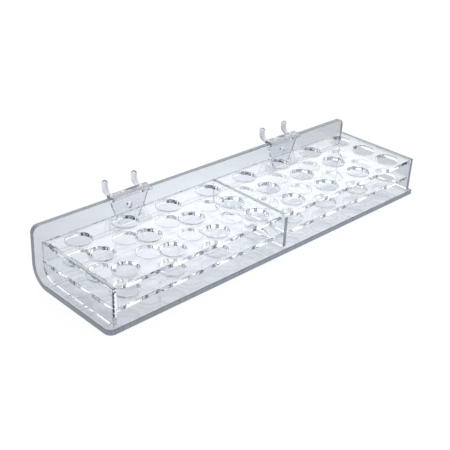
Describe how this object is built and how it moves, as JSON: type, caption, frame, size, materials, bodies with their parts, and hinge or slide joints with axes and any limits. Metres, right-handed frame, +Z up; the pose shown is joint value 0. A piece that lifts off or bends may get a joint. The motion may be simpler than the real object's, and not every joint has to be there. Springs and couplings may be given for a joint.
{
  "type": "clear acrylic tube tray with peg hooks",
  "caption": "Clear acrylic tray of round tube holes on two levels, with a bent base-and-back sheet that hangs on sliding double-prong peg hooks.",
  "frame": {"origin": "on the underside of the base, at the middle of the bent sheet's length and depth", "axes": "+X along the tray to its right end seen from the front, +Y back towards the board it hangs on, +Z up"},
  "size_m": [0.31, 0.0931, 0.0505],
  "materials": {
    "sheet_acrylic": "clear cast acrylic sheet, flame-polished edges",
    "moulded_hook": "clear injection-moulded polycarbonate"
  },
  "bodies": {
    "tray": {"back_base_sheet": "sheet_acrylic", "top_plate": "sheet_acrylic", "mid_shelf_left": "sheet_acrylic", "mid_shelf_right": "sheet_acrylic", "left_end_plate": "sheet_acrylic", "right_end_plate": "sheet_acrylic", "centre_divider": "sheet_acrylic"},
    "left_hook": {"left_hook": "moulded_hook"},
    "right_hook": {"right_hook": "moulded_hook"}
  },
  "joints": [
    {"name": "left_hook_slide", "type": "slide", "parent": "tray", "child": "left_hook", "axis": [1, 0, 0], "range_m": [-0.057, 0.057]},
    {"name": "right_hook_slide", "type": "slide", "parent": "tray", "child": "right_hook", "axis": [1, 0, 0], "range_m": [-0.057, 0.052]}
  ]
}
